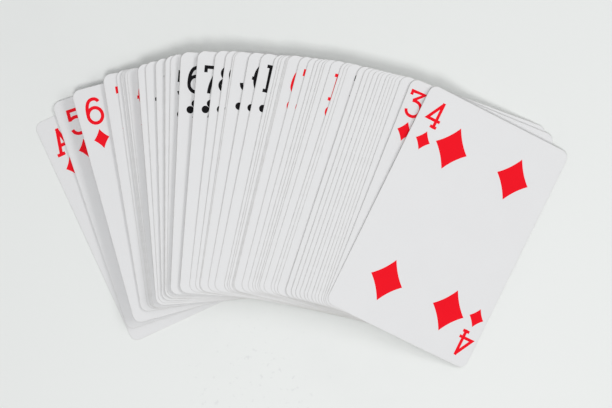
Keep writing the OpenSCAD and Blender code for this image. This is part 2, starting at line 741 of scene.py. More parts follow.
    def features(self, art: Drawing) -> None:
        """Lays down eyes, nose and mouth.

        Args:
            art: The drawing.
        """
        lid = sweep((0.9, 25), (1.4, 25.6), (2.4, 25.6), (3, 24.9), steps=6)
        brow = sweep((0.8, 26.6), (1.6, 27.2), (2.6, 27.1), (3.3, 26.4), steps=6)
        for side in SIDES:
            art.line(Surface.BLACK, sided(lid, side), self.lid_pen)
            art.line(Surface.BLACK, sided(brow, side), self.pen)
            art.dots(Surface.BLACK, [(side * 1.9, 24.9)], self.eye)
        art.line(Surface.BLACK, [(0.35, 26.2), (0.55, 23.3), (-0.4, 22.9)], self.nose_pen)
        mouth = sweep((-1.1, 21.2), (-0.5, 21.0), (0.5, 21.0), (1.1, 21.2), steps=5)
        art.line(Surface.RED, mouth, self.cord)

    def cap(self, art: Drawing) -> None:
        """Lays down a jack's cap with a band and a plume.

        Args:
            art: The drawing.
        """
        top = sweep((0, 34.8), (4.6, 35), (8.6, 33.6), (7.8, 30.8), steps=8)
        art.fill(self.main, mirrored([*top, (6.2, 28.9), (0, 29.6)]), self.pen)
        outer, inner = 1.9, 1.4
        art.line(Surface.BLACK, [(-6.6, 29.3), (0, 30.2), (6.6, 29.3)], outer)
        art.line(Surface.YELLOW, [(-6.5, 29.4), (0, 30.2), (6.5, 29.4)], inner)
        plume = sweep(
            (5.4, 30.4), (7.2, 35.6), (9.8, 37), (13.4, 35.4), (11.6, 34.6), (8.4, 33), (7.0, 30.0), steps=8
        )
        art.fill(self.trim, plume, self.pen)
        quill = sweep((6.3, 30.8), (7.4, 33.4), (9.4, 35.4), (12, 35.5), steps=8)
        art.line(Surface.BARE, quill, self.pen)

    def crown(self, art: Drawing) -> None:
        """Lays down a king's crown or a queen's coronet.

        Args:
            art: The drawing.
        """
        tall = self.rank is Rank.KING
        tips = [(0, 36.0), (7.0, 35.0)] if tall else [(0, 34.6), (3.6, 34.0), (6.9, 33.2)]
        dips = [(3.6, 32.4)] if tall else [(1.9, 32.2), (5.2, 31.6)]
        spikes = [point for pair in zip(tips, dips) for point in pair] + [tips[-1], (6.0, 29.6)]
        art.fill(self.main if tall else Surface.YELLOW, mirrored([*spikes, (0, 30.6)]), self.pen)
        balls = [(side * x, y) for x, y in tips for side in SIDES]
        outer_ball, inner_ball = 0.95, 0.7
        art.dots(Surface.BLACK, balls, outer_ball, steps=12)
        art.dots(Surface.YELLOW if tall else self.trim, balls, inner_ball, steps=12)
        rim = sweep((-6.3, 29.2), (-3, 30.6), (3, 30.6), (6.3, 29.2), steps=10)
        outer_rim, inner_rim = 2.3, 1.8
        art.line(Surface.BLACK, rim, outer_rim)
        art.line(Surface.YELLOW, rim, inner_rim)
        art.dots(self.trim, rim[1:-1:2], self.bead)

    def sword(self, art: Drawing) -> None:
        """Lays down a king's sword.

        Args:
            art: The drawing.
        """
        x, half, knob = self.held_x, 0.95, 1.2
        blade = [(x - half, 12), (x + half, 12), (x + half, 33.5), (x, 36), (x - half, 33.5)]
        art.fill(Surface.BARE, blade, self.pen)
        art.line(Surface.BLACK, [(x, 13), (x, 33.6)], self.fine)
        art.fill(Surface.YELLOW, bar(x, 3.6, 13.4, 14.8), self.pen)
        art.dots(Surface.YELLOW, [(x, 7)], knob)

    def flower(self, art: Drawing) -> None:
        """Lays down a queen's flower with five petals and two leaves.

        Args:
            art: The drawing.
        """
        x, top, stalk_pen = self.held_x, 26.4, 0.6
        ring, petal, heart = 1.9, 1.45, 1.2
        stalk = sweep((x, 7), (x + 0.8, 13), (x - 0.8, 18), (x, 25), steps=10)
        art.line(Surface.BLACK, stalk, stalk_pen)
        for px, py in oval(x, top, ring, ring, first=90, last=450, steps=5):
            art.fill(self.trim, oval(px, py, petal, petal, steps=12), self.petal_pen)
        art.fill(Surface.YELLOW, oval(x, top, heart, heart, steps=12), self.petal_pen)
        leaf = sweep((0, 0), (0.8, 2.6), (2.4, 3), (3.6, 3.4), (3, 1.4), (1.6, 0), (0, 0), steps=6)[:-1]
        for side, low in ((-1, 17), (1, 19.5)):
            art.fill(Surface.BLUE, [(x + side * px, low + py) for px, py in leaf], self.petal_pen)

    def staff(self, art: Drawing) -> None:
        """Lays down a jack's staff with a pointed head.

        Args:
            art: The drawing.
        """
        x, outer, inner = self.held_x, 1.6, 1.0
        art.line(Surface.BLACK, [(x, 4), (x, 31.5)], outer)
        art.line(Surface.YELLOW, [(x, 4.2), (x, 31.5)], inner)
        art.fill(self.trim, [(x, 35.6), (x - 2.2, 32), (x, 28.6), (x + 2.2, 32)], self.pen)
        art.fill(Surface.YELLOW, bar(x, 1.8, 27.4, 28.6), self.pen)

    def hand(self, art: Drawing) -> None:
        """Lays down the hand round what the figure holds.

        Args:
            art: The drawing.
        """
        x = self.held_x
        palm = sweep(
            (x - 2.6, 7.6), (x - 2.6, 11.6), (x - 1.6, 12.6), (x, 12.6), (x + 1.8, 12.6), (x + 2.4, 11.4),
            (x + 2.4, 9.8), (x + 2.4, 8), (x + 1, 7), (x - 2.6, 7.6), steps=6,
        )[:-1]
        art.fill(Surface.BARE, palm, self.pen)
        for k in range(3):
            art.line(Surface.BLACK, [(x - 0.4, 8.6 + 1.2 * k), (x + 2.1, 8.8 + 1.1 * k)], self.fine)


@dataclass(frozen=True)
class CardPrint:
    """Everything printed on a card's face.

    Attributes:
        rank: The rank.
        suit: The suit.
        column: From the middle of the card to a column of pips.
        row: From the middle of the card to the outer row of pips.
        looser: Size of the pips of a six, seven or eight.
        closer: Size of the pips of a nine or ten.
        ace: Size of an ace's pip.
        ace_of_spades: Size of the pip of the ace of spades.
        index_x: Place of the corner index, across.
        index_y: Place of the corner index, up.
        small_y: Height of the small pip under the index.
        small: Size of that pip.
        usual: How far right of the card's middle a print sits at most; beyond that its indices are set in.
        shift: How far the print sits from the card's middle, right and up.
    """

    rank: Rank
    suit: Suit
    column: float = 12.9
    row: float = 26.6
    looser: float = 0.92
    closer: float = 0.84
    ace: float = 1.35
    ace_of_spades: float = 2.1
    index_x: float = -23.8
    index_y: float = 35.0
    small_y: float = 24.6
    small: float = 0.45
    usual: float = 0.85
    shift: Point = (0.85, 0.0)

    def pip_places(self) -> tuple[list[Point], float]:
        """Lays out the pips of a number card.

        Returns:
            Their places and their size.
        """
        column, row = self.column, self.row
        middle = [(0.0, 0.0)]
        corners = [(x, y) for x in (-column, column) for y in (-row, row)]
        sides = [(-column, 0.0), (column, 0.0)]
        ends = [(0.0, -row), (0.0, row)]
        eight = corners + [(x, y) for x in (-column, column) for y in (-row / 3, row / 3)]
        return {
            Rank.TWO: (ends, 1.0),
            Rank.THREE: (ends + middle, 1.0),
            Rank.FOUR: (corners, 1.0),
            Rank.FIVE: (corners + middle, 1.0),
            Rank.SIX: (corners + sides, self.looser),
            Rank.SEVEN: (corners + sides + [(0.0, row / 2)], self.looser),
            Rank.EIGHT: (corners + sides + [(0.0, row / 2), (0.0, -row / 2)], self.looser),
            Rank.NINE: (eight + middle, self.closer),
            Rank.TEN: (eight + [(0.0, row * 2 / 3), (0.0, -row * 2 / 3)], self.closer),
        }[self.rank]

    def drawing(self) -> Drawing:
        """Draws the whole face.

        Returns:
            The drawing, the card's middle at the origin.
        """
        made = Drawing()
        pip = Pip(self.suit).drawing()
        if self.rank.is_court:
            made.add(CourtFigure(self.rank, self.suit).drawing())
        elif self.rank is Rank.ACE:
            made.add(pip, scale=self.ace_of_spades if self.suit is Suit.SPADES else self.ace)
        else:
            places, size = self.pip_places()
            for x, y in places:
                made.add(pip, x, y, size, turned=y < 0)
        inset = max(0.0, self.shift[0] - self.usual)
        made.add_both_ways(Index(self.rank, self.suit.ink).drawing(), self.index_x + inset, self.index_y)
        made.add_both_ways(pip, self.index_x + inset, self.small_y, self.small)
        placed = Drawing()
        placed.add(made, self.shift[0] - inset, self.shift[1])
        return placed


# Finishes


@dataclass
class Shading:
    """A node tree, with short ways to add to it.

    Attributes:
        tree: The tree.
    """

    tree: bpy.types.NodeTree

    def node(self, kind: str, **settings: object) -> bpy.types.Node:
        """Adds a node.

        Args:
            kind: Its type.
            settings: Its properties.

        Returns:
            The node.
        """
        made = self.tree.nodes.new(kind)
        for name, value in settings.items():
            setattr(made, name, value)
        return made

    def feed(self, socket: bpy.types.NodeSocket, value: object) -> None:
        """Feeds an input.

        Args:
            socket: The input.
            value: The output that it is linked to, or the value that it is set to.
        """
        if isinstance(value, bpy.types.NodeSocket):
            self.tree.links.new(value, socket)
        else:
            socket.default_value = value

    def math(self, operation: str, *values: object, clamp: bool = False) -> bpy.types.NodeSocket:
        """Adds a Math node.

        Args:
            operation: What it does.
            values: Its inputs, sockets or numbers.
            clamp: Whether the result is kept from 0 to 1.

        Returns:
            Its output.
        """
        made = self.node("ShaderNodeMath", operation=operation, use_clamp=clamp)
        for socket, value in zip(made.inputs, values):
            self.feed(socket, value)
        return made.outputs[0]

    def mix(self, share: object, a: object, b: object) -> bpy.types.NodeSocket:
        """Adds a colour mix.

        Args:
            share: Share of the second colour.
            a: The first colour.
            b: The second colour.

        Returns:
            Its output.
        """
        made = self.node("ShaderNodeMix", data_type="RGBA")
        for name, value in (("Factor_Float", share), ("A_Color", a), ("B_Color", b)):
            self.feed(next(s for s in made.inputs if s.identifier == name), value)
        return next(s for s in made.outputs if s.identifier == "Result_Color")

    def ramp(
        self, value: object, low: float, high: float, to_low: float = 0, to_high: float = 1
    ) -> bpy.types.NodeSocket:
        """Adds a smooth step.

        Args:
            value: The value that it follows.
            low: Value at which the step starts.
            high: Value at which it ends.
            to_low: Result at the start.
            to_high: Result at the end.

        Returns:
            Its output.
        """
        made = self.node("ShaderNodeMapRange", interpolation_type="SMOOTHSTEP")
        for socket, number in zip(made.inputs, (value, low, high, to_low, to_high)):
            self.feed(socket, number)
        return made.outputs[0]

    def noise(self, place: object, scale: float, detail: float = 3) -> bpy.types.NodeSocket:
        """Adds a noise texture.

        Args:
            place: Where it is read.
            scale: Its scale.
            detail: Number of finer layers.

        Returns:
            Its value.
        """
        made = self.node("ShaderNodeTexNoise")
        for name, value in (("Vector", place), ("Scale", scale), ("Detail", detail)):
            self.feed(made.inputs[name], value)
        return made.outputs[0]

    def bump(self, height: object, strength: float, distance: float) -> bpy.types.NodeSocket:
        """Adds a Bump node.

        Args:
            height: The height that it follows.
            strength: Its strength.
            distance: Depth of the relief in metres.

        Returns:
            Its normal.
        """
        made = self.node("ShaderNodeBump")
        for name, value in (("Strength", strength), ("Distance", distance), ("Height", height)):
            self.feed(made.inputs[name], value)
        return made.outputs[0]

    def parts(self, place: object) -> tuple[bpy.types.NodeSocket, bpy.types.NodeSocket]:
        """Splits a place.

        Args:
            place: The place.

        Returns:
            Its first two parts.
        """
        made = self.node("ShaderNodeSeparateXYZ")
        self.feed(made.inputs[0], place)
        return made.outputs[0], made.outputs[1]

    def group(self, tree: bpy.types.NodeTree, **values: object) -> bpy.types.Node:
        """Places a node group.

        Args:
            tree: The group.
            values: What its inputs are fed with, by their names in small letters.

        Returns:
            The group's node.
        """
        made = self.node("ShaderNodeGroup", node_tree=tree)
        for name, value in values.items():
            self.feed(made.inputs[name.replace("_", " ").title()], value)
        return made


@dataclass
class SharedEffects:
    """Node groups that the finishes share; places are in millimetres from the card's middle.

    Attributes:
        fibres: Scale of the fibres in the stock.
        patches: Scale of the broad soft patches.
        rubs: Scale of the rubbed spots along the rim.
        rub_edge: Values of that noise between which a spot fades in.
    """

    fibres: float = 1.7
    patches: float = 0.07
    rubs: float = 0.35
    rub_edge: Span = (0.35, 0.7)

    def __post_init__(self) -> None:
        """Builds the groups."""
        self.emboss = self.build_emboss()
        self.mottle = self.build_mottle()
        self.wear = self.build_wear()

    @staticmethod
    def open_group(
        name: str, inputs: dict[str, str], outputs: dict[str, str]
    ) -> tuple[Shading, bpy.types.Node, bpy.types.Node]:
        """Starts a group.

        Args:
            name: Its name.
            inputs: Name and kind of each input.
            outputs: Name and kind of each output.

        Returns:
            Its tree, its input node and its output node.
        """
        tree = bpy.data.node_groups.new(name, "ShaderNodeTree")
        for way, sockets in (("INPUT", inputs), ("OUTPUT", outputs)):
            for label, kind in sockets.items():
                tree.interface.new_socket(label, in_out=way, socket_type="NodeSocket" + kind)
        net = Shading(tree)
        return net, net.node("NodeGroupInput"), net.node("NodeGroupOutput")

    def build_emboss(self) -> bpy.types.NodeTree:
        """Fine crossed rows of dimples pressed into the coated stock.

        Returns:
            The group, whose height runs from 0 to 1.
        """
        net, given, out = self.open_group(
            "pressed_dimples", {"Place": "Vector", "Pitch": "Float"}, {"Height": "Float"}
        )
        turn = net.math("DIVIDE", 2 * math.pi, given.outputs["Pitch"])
        waves = [net.math("SINE", net.math("MULTIPLY", v, turn)) for v in net.parts(given.outputs["Place"])]
        net.feed(out.inputs["Height"], net.math("MULTIPLY_ADD", net.math("ADD", *waves), 0.25, 0.5))
        return net.tree

    def build_mottle(self) -> bpy.types.NodeTree:
        """A colour made uneven by fibres in the stock and by broad soft patches.

        Returns:
            The group.
        """
        net, given, out = self.open_group(
            "uneven_colour",
            {"Place": "Vector", "Colour": "Color", "Amount": "Float"},
            {"Colour": "Color", "Patch": "Float"},
        )
        fine = net.noise(given.outputs["Place"], self.fibres, detail=4)
        broad = net.noise(given.outputs["Place"], self.patches, detail=2)
        both = net.math("ADD", net.math("SUBTRACT", fine, 0.5), net.math("SUBTRACT", broad, 0.5))
        scaled = net.node("ShaderNodeVectorMath", operation="SCALE")
        net.feed(scaled.inputs[0], given.outputs["Colour"])
        net.feed(scaled.inputs["Scale"], net.math("MULTIPLY_ADD", both, given.outputs["Amount"], 1.0))
        net.feed(out.inputs["Colour"], scaled.outputs[0])
        net.feed(out.inputs["Patch"], broad)
        return net.tree

    def build_wear(self) -> bpy.types.NodeTree:
        """A mask that grows towards the rim of a card, where hands have rubbed it.

        Returns:
            The group.
        """
        net, given, out = self.open_group(
            "rubbed_rim",
            {"Place": "Vector", "Half Width": "Float", "Half Length": "Float", "Depth": "Float"},
            {"Mask": "Float"},
        )
        place = given.outputs["Place"]
        halves = (given.outputs["Half Width"], given.outputs["Half Length"])
        gaps = [net.math("SUBTRACT", h, net.math("ABSOLUTE", v)) for h, v in zip(halves, net.parts(place))]
        share = net.math("DIVIDE", net.math("MINIMUM", *gaps), given.outputs["Depth"])
        near = net.math("SUBTRACT", 1.0, share, clamp=True)
        spots = net.ramp(net.noise(place, self.rubs, detail=4), *self.rub_edge)
        mask = net.math("MULTIPLY", net.math("MULTIPLY", near, near), spots, clamp=True)
        net.feed(out.inputs["Mask"], mask)
        return net.tree


@dataclass(frozen=True)
class Finish:
    """A printed or bare surface of the coated stock; lengths are in millimetres.

    Attributes:
        surface: The surface that it dresses.
        colour: Its colour.
        rubbed: Colour where the rim is rubbed.
        rub: How much of that colour shows.
        rub_depth: How far in from the rim it is rubbed.
        uneven: How uneven the colour is.
        roughness: Least roughness.
        spread: How much rougher the dull patches are.
        coat: Weight of the clear varnish.
        coat_roughness: Roughness of the varnish.
        gleam: Level of its mirror-like share.
        relief: Strength of the pressed dimples.
        pitch: Pitch of the dimples.
        depth: Depth of the dimples.
    """

    surface: Surface
    colour: Colour
    rubbed: Colour = (0.55, 0.54, 0.52)
    rub: float = 0.35
    rub_depth: float = 1.3
    uneven: float = 0.04
    roughness: float = 0.42
    spread: float = 0.12
    coat: float = 0.0
    coat_roughness: float = 0.3
    gleam: float = 0.25
    relief: float = 0.10
    pitch: float = 0.46
    depth: float = 0.02

    def material(self, effects: SharedEffects, half_w: float, half_l: float) -> bpy.types.Material:
        """Builds the material.

        Args:
            effects: The shared node groups.
            half_w: Half the width of a card.
            half_l: Half its length.

        Returns:
            The material.
        """
        made = bpy.data.materials.new(self.surface.value)
        made.use_nodes = True
        made.diffuse_color = (*self.colour, 1)
        net = Shading(made.node_tree)
        place = self.place(net)
        paint = self.paint(net, place, half_w, half_l)
        uneven = net.group(effects.mottle, place=place, colour=paint, amount=self.uneven)
        wear = net.group(
            effects.wear, place=place, half_width=half_w, half_length=half_l, depth=self.rub_depth
        )
        worn = net.math("MULTIPLY", wear.outputs["Mask"], self.rub)
        dimples = net.group(effects.emboss, place=place, pitch=self.pitch)
        looks = {
            "Base Color": net.mix(worn, uneven.outputs["Colour"], (*self.rubbed, 1)),
            "Roughness": net.math("MULTIPLY_ADD", uneven.outputs["Patch"], self.spread, self.roughness),
            "Specular IOR Level": self.gleam,
            "Coat Weight": self.coat,
            "Coat Roughness": self.coat_roughness,
            "Normal": net.bump(dimples.outputs["Height"], self.relief, self.depth * MM),
        }
        for name, value in looks.items():
            net.feed(made.node_tree.nodes["Principled BSDF"].inputs[name], value)
        return made

    def place(self, net: Shading) -> bpy.types.NodeSocket:
        """Reads the place on the card from its UV map.

        Args:
            net: The material's tree.

        Returns:
            The place in millimetres from the card's middle.
        """
        made = net.node("ShaderNodeVectorMath", operation="MULTIPLY_ADD")
        net.feed(made.inputs[0], net.node("ShaderNodeUVMap", uv_map=UV_MAP).outputs[0])
        net.feed(made.inputs[1], (UV_SPAN,) * 3)
        net.feed(made.inputs[2], (-UV_SPAN / 2, -UV_SPAN / 2, 0))
        return made.outputs[0]

    def paint(self, net: Shading, place: bpy.types.NodeSocket, half_w: float, half_l: float) -> object:
        """Colour before wear: plain here."""
        return (*self.colour, 1)


@dataclass(frozen=True)
class LatticeBack(Finish):
    """The back: a lattice of lozenges, dots and rings in one colour, inside a white border.

    Attributes:
        border: Width of the white border.
        border_blur: Width over which the border turns into the print.
        rule: From the border to the two sides of the light line inside it.
        field_gap: From the border to the lattice.
        blur: Width over which that line and the lattice fade in.
        cell: Pitch of the lattice.
        slope: Height of a lozenge for its width.
        line_edge: Shares of a cell between which a line fades in, from a lozenge's middle.
        dot_edge: Shares of a cell between which a dot fades in.
        ring_inner: Shares of a cell between which a ring fades in on its inside.
        ring_outer: Shares of a cell between which a ring fades in on its outside.
        ground: Colour of the border and of the lines.
    """

    border: float = 4.0
    border_blur: float = 0.12
    rule: Span = (1.2, 2.3)
    field_gap: float = 3.2
    blur: float = 0.1
    cell: float = 4.2
    slope: float = 1.4
    line_edge: Span = (0.40, 0.44)
    dot_edge: Span = (0.16, 0.12)
    ring_inner: Span = (0.25, 0.28)
    ring_outer: Span = (0.35, 0.32)
    ground: Colour = (0.76, 0.76, 0.75)

    def paint(self, net: Shading, place: bpy.types.NodeSocket, half_w: float, half_l: float) -> object:
        """Draws the lattice and its border.

        Args:
            net: The material's tree.
            place: The place on the card.
            half_w: Half the width of a card.
            half_l: Half its length.

        Returns:
            The colour before wear.
        """
        halves = (half_w, half_l)
        gaps = [net.math("SUBTRACT", h, net.math("ABSOLUTE", v)) for h, v in zip(halves, net.parts(place))]
        gap = net.math("SUBTRACT", net.math("MINIMUM", *gaps), self.border)
        inside = net.ramp(gap, self.field_gap, self.field_gap + self.blur)
        low, high = self.rule
        rule = net.math(
            "MULTIPLY", net.ramp(gap, low, low + self.blur), net.ramp(gap, high, high - self.blur)
        )
        light = net.math("MAXIMUM", net.math("MULTIPLY", self.web(net, place), inside), rule)
        shown = net.mix(light, (*self.colour, 1), (*self.ground, 1))
        return net.mix(net.ramp(gap, 0, self.border_blur), (*self.ground, 1), shown)

    def web(self, net: Shading, place: bpy.types.NodeSocket) -> bpy.types.NodeSocket:
        """Draws the lattice alone.

        Args:
            net: The material's tree.
            place: The place on the card.

        Returns:
            A mask of its lines, dots and rings.
        """
        x, y = net.parts(place)
        slants = []
        for operation in ("ADD", "SUBTRACT"):
            slant = net.math("DIVIDE", net.math(operation, net.math("MULTIPLY", x, self.slope), y), self.cell)
            slants.append(net.math("ABSOLUTE", net.math("SUBTRACT", net.math("FRACT", slant), 0.5)))
        lines = net.ramp(net.math("MAXIMUM", *slants), *self.line_edge)
        centre = net.math("SQRT", net.math("ADD", *(net.math("POWER", slant, 2.0) for slant in slants)))
        dots = net.ramp(centre, *self.dot_edge)
        rings = net.math("MULTIPLY", net.ramp(centre, *self.ring_inner), net.ramp(centre, *self.ring_outer))
        return net.math("MAXIMUM", net.math("MAXIMUM", lines, dots), rings)


class FinishSet:
    """The finishes of the deck, each built once."""

    def __init__(self, half_w: float, half_l: float) -> None:
        """Builds every finish.

        Args:
            half_w: Half the width of a card in millimetres.
            half_l: Half its length in millimetres.
        """
        effects = SharedEffects()
        finishes = (
            Finish(Surface.BARE, (0.77, 0.77, 0.775), rub=0.22, uneven=0.03),
            Finish(Surface.RED, (0.90, 0.006, 0.017), rub=0.1, uneven=0.09, gleam=0.05),
            Finish(Surface.BLACK, (0.004, 0.004, 0.005), rub=0.1, uneven=0.12, gleam=0.05),
            Finish(Surface.YELLOW, (0.88, 0.55, 0.05), rub=0.1, uneven=0.08, gleam=0.15),
            Finish(Surface.BLUE, (0.03, 0.11, 0.42), rub=0.1, uneven=0.09, gleam=0.15),
            Finish(Surface.EDGE, (0.72, 0.71, 0.69), rub=0.3, uneven=0.10, roughness=0.7, relief=0.0),
            LatticeBack(Surface.BACK, (0.022, 0.075, 0.28), rub=0.25, uneven=0.06, coat=0.1),
        )
        self.materials = {f.surface: f.material(effects, half_w, half_l) for f in finishes}


# Cards


def set_mode(mode: str) -> None:
    """Goes into or out of edit mode."""
    bpy.ops.object.mode_set(mode=mode)


def clear_selection() -> None:
    """Leaves nothing selected."""
    bpy.ops.object.select_all(action="DESELECT")


@dataclass
class CardBlank:
    """A card's blank, modelled once and copied for each card; lengths are in metres.

    Attributes:
        width: Its width.
        length: Its length.
        thickness: Its thickness.
        corner: Radius of the corners.
        corner_steps: Number of pieces of a corner.
        soft: How far the edges are rounded.
        soft_steps: Number of pieces of a rounded edge.
    """

    width: float
    length: float
    thickness: float
    corner: float = 3 * MM
    corner_steps: int = 10
    soft: float = 0.06 * MM
    soft_steps: int = 2

    def model(self) -> bpy.types.Object:
        """Models the blank.

        Returns:
            The blank, its underside on z = 0 and its middle at the origin.
        """
        clear_selection()
        bpy.ops.mesh.primitive_plane_add(size=1)
        blank = bpy.context.object
        blank.name = "blank"
        set_mode("EDIT")
        bpy.ops.transform.resize(value=(self.width, self.length, 1))
        bpy.ops.mesh.bevel(offset=self.corner, segments=self.corner_steps, affect="VERTICES")
        bpy.ops.mesh.select_all(action="SELECT")
        bpy.ops.mesh.extrude_region_move(TRANSFORM_OT_translate={"value": (0, 0, self.thickness)})
        self.select_rims(blank)
        bpy.ops.mesh.bevel(offset=self.soft, segments=self.soft_steps, affect="EDGES")
        bpy.ops.mesh.select_all(action="SELECT")
        bpy.ops.mesh.normals_make_consistent(inside=False)
        set_mode("OBJECT")
        return blank

    def select_rims(self, blank: bpy.types.Object) -> None:
        """Selects the edges round the face and round the back.

        Args:
            blank: The blank, in edit mode.
        """
        bpy.ops.mesh.select_mode(type="EDGE")
        bpy.ops.mesh.select_all(action="DESELECT")
        mesh = bmesh.from_edit_mesh(blank.data)
        for edge in mesh.edges:
            a, b = edge.verts
            edge.select_set(abs(a.co.z - b.co.z) < self.thickness / 2)
        bmesh.update_edit_mesh(blank.data)


@dataclass
class PlayingCard:
    """One card of the spread.

    Attributes:
        name: Name of its node and body.
        node: The node's object.
        flat: Least height of the normal of the back of a flat blank, downwards.
        upward: Least height of the normal of the face of a card in the spread.
        square: Cosine under which two directions count as square to each other.
        merge: Millimetres within which two points of the print are one.
    """

    name: str
    node: bpy.types.Object
    flat: float = 0.9
    upward: float = 0.5
    square: float = 0.1
    merge: float = 1e-4

    @property
    def face(self) -> CardPrint:
        """What is printed on it, from its name."""
        rank, suit = self.name.split("_of_")
        return CardPrint(Rank(rank), Suit(suit), shift=CUT_SHIFTS.get(self.name, CardPrint.shift))

    def axes(self) -> tuple[Vector, Vector, Vector]:
        """Finds how the card is turned, from the largest faces of its node.

        Returns:
            Directions across the card, along it and out of its face.
        """
        sides: dict[tuple[float, ...], Vector] = {}
        for polygon in self.node.data.polygons:
            key = tuple(round(v, 2) for v in polygon.normal)
            sides[key] = sides.get(key, Vector((0, 0, 0))) + polygon.normal * polygon.area
        ranked = [side.normalized() for side in sorted(sides.values(), key=lambda v: v.length, reverse=True)]
        outward = next(n for n in ranked if n.z > self.upward)
        across = next(n for n in ranked if abs(n.dot(outward)) < self.square and n.x > 0)
        across = (across - outward * across.dot(outward)).normalized()
        return across, outward.cross(across), outward

    def extent(self) -> tuple[Matrix, Vector]:
        """Finds where the card lies.

        Returns:
            The placement of the middle of its underside, and its size across, along and through.
        """
        axes = self.axes()
        spans = []
        for axis in axes:
            reach = [axis.dot(v.co) for v in self.node.data.vertices]
            spans.append((min(reach), max(reach)))
        middle = [(low + high) / 2 for low, high in spans[:2]] + [spans[2][0]]
        origin = sum((axis * m for axis, m in zip(axes, middle)), Vector((0, 0, 0)))
        turn = Matrix(axes).transposed().to_4x4()
        return Matrix.Translation(origin) @ turn, Vector([high - low for low, high in spans])

    def build(self, blank: bpy.types.Object, finishes: FinishSet) -> bpy.types.Object:
        """Makes the card from a copy of the blank.

        Args:
            blank: The modelled blank.
            finishes: The deck's finishes.

        Returns:
            The card, on its body in the spread.
        """
        card = bpy.data.objects.new("card_" + self.name, blank.data.copy())
        card.data.name = card.name
        bpy.context.scene.collection.objects.link(card)
        mesh = bmesh.new()
        mesh.from_mesh(card.data)
        order = self.print_face(mesh)
        self.unwrap(mesh)
        mesh.transform(self.extent()[0])
        mesh.to_mesh(card.data)
        mesh.free()
        for surface in order:
            card.data.materials.append(finishes.materials[surface])
        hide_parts(self.name)
        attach(card, self.name)
        return card

    def print_face(self, mesh: bmesh.types.BMesh) -> list[Surface]:
        """Divides the face along the print and marks every patch with its surface.

        Args:
            mesh: The card's mesh, still as modelled.

        Returns:
            The surfaces used, in the order of the material slots.
        """
        marks = self.face.drawing().marks
        order = [Surface.EDGE, Surface.BACK, Surface.BARE]
        order += [ink for ink in Surface if ink not in order and any(ink is used for used, _ in marks)]
        for polygon in mesh.faces:
            is_back = polygon.normal.z < -self.flat
            polygon.material_index = order.index(Surface.BACK if is_back else Surface.EDGE)
        top = max(mesh.faces, key=lambda f: (round(f.normal.z, 3), f.calc_area()))
        rim = [loop.vert for loop in top.loops]
        height = rim[0].co.z
        outlines = [[(v.co.x / MM, v.co.y / MM) for v in rim]] + [outline for _, outline in marks]
        places, origins, patches, covers = self.divide(outlines)
        verts = []
        for place, made_of in zip(places, origins):
            on_rim = [k for k in made_of if k < len(rim)]
            verts.append(rim[on_rim[0]] if on_rim else mesh.verts.new((place.x * MM, place.y * MM, height)))
        bmesh.ops.delete(mesh, geom=[top], context="FACES_ONLY")
        for patch, cover in zip(patches, covers):
            made = mesh.faces.new([verts[k] for k in patch])
            uppermost = max(cover, default=0)
            made.material_index = order.index(marks[uppermost - 1][0] if uppermost else Surface.BARE)
        return order

    def divide(
        self, outlines: list[Outline]
    ) -> tuple[list[Vector], list[list[int]], list[list[int]], list[list[int]]]:
        """Divides the plane into triangles along outlines.

        Args:
            outlines: The outlines, which may cross; the first one goes round all others.

        Returns:
            The corners of the triangles, and for each the given points that lie there; then the corners of
            each triangle, and for each the outlines that cover it.
        """
        points: list[Vector] = []
        areas: list[list[int]] = []
        for outline in outlines:
            ids = list(range(len(points), len(points) + len(outline)))
            points += [Vector(p) for p in outline]
            twice = sum(a[0] * b[1] - b[0] * a[1] for a, b in zip(outline, outline[1:] + outline[:1]))
            areas.append(ids if twice > 0 else ids[::-1])
        places, _, patches, origins, _, covers = delaunay_2d_cdt(points, [], areas, WHOLE_HULL, self.merge)
        return places, origins, patches, covers

    def unwrap(self, mesh: bmesh.types.BMesh) -> None:
        """Gives the mesh a UV map that lies flat on the card.

        Args:
            mesh: The card's mesh, still as modelled.
        """
        layer = mesh.loops.layers.uv.new(UV_MAP)
        for polygon in mesh.faces:
            for loop in polygon.loops:
                x, y, _ = loop.vert.co / MM
                loop[layer].uv = (0.5 + x / UV_SPAN, 0.5 + y / UV_SPAN)


@dataclass
class Spread:
    """The whole deck as it lies on the table.

    Attributes:
        nodes: The frame's nodes by name.
    """

    nodes: dict[str, bpy.types.Object]

    def build(self) -> list[bpy.types.Object]:
        """Models the blank, then makes every card from it.

        Returns:
            The cards.
        """
        cards = [PlayingCard(name, node) for name, node in self.nodes.items()]
        size = cards[0].extent()[1]
        blank = CardBlank(*size).model()
        finishes = FinishSet(size.x / MM / 2, size.y / MM / 2)
        made = [card.build(blank, finishes) for card in cards]
        bpy.data.objects.remove(blank)
        return made


# Studio


